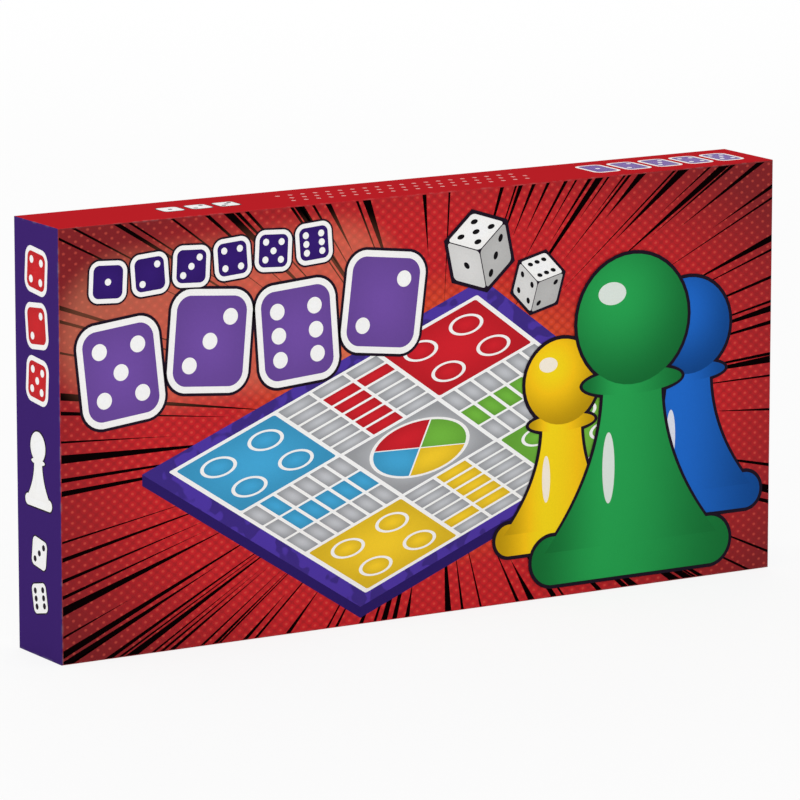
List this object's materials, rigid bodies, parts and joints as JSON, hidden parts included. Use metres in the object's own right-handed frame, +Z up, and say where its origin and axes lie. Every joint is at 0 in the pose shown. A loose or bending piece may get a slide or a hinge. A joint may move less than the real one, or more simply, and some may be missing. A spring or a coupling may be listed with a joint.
{
  "type": "ludo board game",
  "caption": "Flat rigid box with a full-depth lift-off lid, holding a folding ludo board, coloured pawns, dice, a rules leaflet and a folded card insert.",
  "frame": {"origin": "centre of the standing box's footprint, on the surface that it stands on", "axes": "+X along the long side, to the right as seen from the printed front; +Y from the front to the back; +Z up"},
  "size_m": [0.3712, 0.04, 0.1912],
  "materials": {
    "lid_print": "gloss",
    "base_wrap": "matte",
    "insert_card": "matte",
    "board_back": "matte",
    "board_print": "gloss",
    "hinge_tape": "matte",
    "leaflet_paper": "matte",
    "pawn_red": "gloss",
    "pawn_blue": "gloss",
    "pawn_yellow": "gloss",
    "pawn_green": "gloss",
    "dice_plastic": "gloss"
  },
  "bodies": {
    "base": {"box_base": "base_wrap", "card_insert": "insert_card"},
    "lid": {"box_lid": "lid_print"},
    "board_rear": {"board_core_rear": "board_back", "board_print_rear": "board_print", "board_hinge": "hinge_tape"},
    "board_front": {"board_core_front": "board_back", "board_print_front": "board_print"},
    "leaflet": {"rules_leaflet": "leaflet_paper"},
    "pawn_red_1": {"pawn_red_1": "pawn_red"},
    "pawn_red_2": {"pawn_red_2": "pawn_red"},
    "pawn_red_3": {"pawn_red_3": "pawn_red"},
    "pawn_red_4": {"pawn_red_4": "pawn_red"},
    "pawn_blue_1": {"pawn_blue_1": "pawn_blue"},
    "pawn_blue_2": {"pawn_blue_2": "pawn_blue"},
    "pawn_blue_3": {"pawn_blue_3": "pawn_blue"},
    "pawn_blue_4": {"pawn_blue_4": "pawn_blue"},
    "pawn_yellow_1": {"pawn_yellow_1": "pawn_yellow"},
    "pawn_yellow_2": {"pawn_yellow_2": "pawn_yellow"},
    "pawn_yellow_3": {"pawn_yellow_3": "pawn_yellow"},
    "pawn_yellow_4": {"pawn_yellow_4": "pawn_yellow"},
    "pawn_green_1": {"pawn_green_1": "pawn_green"},
    "pawn_green_2": {"pawn_green_2": "pawn_green"},
    "pawn_green_3": {"pawn_green_3": "pawn_green"},
    "pawn_green_4": {"pawn_green_4": "pawn_green"},
    "die_1": {"die_1": "dice_plastic"},
    "die_2": {"die_2": "dice_plastic"}
  },
  "joints": [
    {"name": "lid_slide", "type": "slide", "parent": "base", "child": "lid", "axis": [0, -1, 0], "range_m": [0, 0.8]},
    {"name": "board_lift", "type": "slide", "parent": "base", "child": "board_rear", "axis": [0, -1, 0], "range_m": [0, 0.201]},
    {"name": "board_unfold", "type": "hinge", "parent": "board_rear", "child": "board_front", "pos_m": [0, -0.01565, 0.1841], "axis": [-1, 0, 0], "range_deg": [0, 180], "deforming": ["board_hinge"]},
    {"name": "leaflet_lift", "type": "slide", "parent": "base", "child": "leaflet", "axis": [0, -1, 0], "range_m": [0, 0.153]},
    {"name": "pawn_red_1_lift", "type": "slide", "parent": "base", "child": "pawn_red_1", "axis": [0, -1, 0], "range_m": [0, 0.081]},
    {"name": "pawn_red_2_lift", "type": "slide", "parent": "base", "child": "pawn_red_2", "axis": [0, -1, 0], "range_m": [0, 0.097]},
    {"name": "pawn_red_3_lift", "type": "slide", "parent": "base", "child": "pawn_red_3", "axis": [0, -1, 0], "range_m": [0, 0.081]},
    {"name": "pawn_red_4_lift", "type": "slide", "parent": "base", "child": "pawn_red_4", "axis": [0, -1, 0], "range_m": [0, 0.097]},
    {"name": "pawn_blue_1_lift", "type": "slide", "parent": "base", "child": "pawn_blue_1", "axis": [0, -1, 0], "range_m": [0, 0.081]},
    {"name": "pawn_blue_2_lift", "type": "slide", "parent": "base", "child": "pawn_blue_2", "axis": [0, -1, 0], "range_m": [0, 0.097]},
    {"name": "pawn_blue_3_lift", "type": "slide", "parent": "base", "child": "pawn_blue_3", "axis": [0, -1, 0], "range_m": [0, 0.081]},
    {"name": "pawn_blue_4_lift", "type": "slide", "parent": "base", "child": "pawn_blue_4", "axis": [0, -1, 0], "range_m": [0, 0.097]},
    {"name": "pawn_yellow_1_lift", "type": "slide", "parent": "base", "child": "pawn_yellow_1", "axis": [0, -1, 0], "range_m": [0, 0.081]},
    {"name": "pawn_yellow_2_lift", "type": "slide", "parent": "base", "child": "pawn_yellow_2", "axis": [0, -1, 0], "range_m": [0, 0.097]},
    {"name": "pawn_yellow_3_lift", "type": "slide", "parent": "base", "child": "pawn_yellow_3", "axis": [0, -1, 0], "range_m": [0, 0.081]},
    {"name": "pawn_yellow_4_lift", "type": "slide", "parent": "base", "child": "pawn_yellow_4", "axis": [0, -1, 0], "range_m": [0, 0.097]},
    {"name": "pawn_green_1_lift", "type": "slide", "parent": "base", "child": "pawn_green_1", "axis": [0, -1, 0], "range_m": [0, 0.081]},
    {"name": "pawn_green_2_lift", "type": "slide", "parent": "base", "child": "pawn_green_2", "axis": [0, -1, 0], "range_m": [0, 0.097]},
    {"name": "pawn_green_3_lift", "type": "slide", "parent": "base", "child": "pawn_green_3", "axis": [0, -1, 0], "range_m": [0, 0.081]},
    {"name": "pawn_green_4_lift", "type": "slide", "parent": "base", "child": "pawn_green_4", "axis": [0, -1, 0], "range_m": [0, 0.097]},
    {"name": "die_1_lift", "type": "slide", "parent": "base", "child": "die_1", "axis": [0, -1, 0], "range_m": [0, 0.089]},
    {"name": "die_2_lift", "type": "slide", "parent": "base", "child": "die_2", "axis": [0, -1, 0], "range_m": [0, 0.089]}
  ],
  "couplings": [
    {"joint": "board_lift", "follows": "lid_slide", "ratio": 0.25},
    {"joint": "board_unfold", "follows": "lid_slide", "rad_per_m": 3.9269},
    {"joint": "leaflet_lift", "follows": "lid_slide", "ratio": 0.19},
    {"joint": "pawn_red_1_lift", "follows": "lid_slide", "ratio": 0.1},
    {"joint": "pawn_red_2_lift", "follows": "lid_slide", "ratio": 0.12},
    {"joint": "pawn_red_3_lift", "follows": "lid_slide", "ratio": 0.1},
    {"joint": "pawn_red_4_lift", "follows": "lid_slide", "ratio": 0.12},
    {"joint": "pawn_blue_1_lift", "follows": "lid_slide", "ratio": 0.1},
    {"joint": "pawn_blue_2_lift", "follows": "lid_slide", "ratio": 0.12},
    {"joint": "pawn_blue_3_lift", "follows": "lid_slide", "ratio": 0.1},
    {"joint": "pawn_blue_4_lift", "follows": "lid_slide", "ratio": 0.12},
    {"joint": "pawn_yellow_1_lift", "follows": "lid_slide", "ratio": 0.1},
    {"joint": "pawn_yellow_2_lift", "follows": "lid_slide", "ratio": 0.12},
    {"joint": "pawn_yellow_3_lift", "follows": "lid_slide", "ratio": 0.1},
    {"joint": "pawn_yellow_4_lift", "follows": "lid_slide", "ratio": 0.12},
    {"joint": "pawn_green_1_lift", "follows": "lid_slide", "ratio": 0.1},
    {"joint": "pawn_green_2_lift", "follows": "lid_slide", "ratio": 0.12},
    {"joint": "pawn_green_3_lift", "follows": "lid_slide", "ratio": 0.1},
    {"joint": "pawn_green_4_lift", "follows": "lid_slide", "ratio": 0.12},
    {"joint": "die_1_lift", "follows": "lid_slide", "ratio": 0.11},
    {"joint": "die_2_lift", "follows": "lid_slide", "ratio": 0.11}
  ]
}
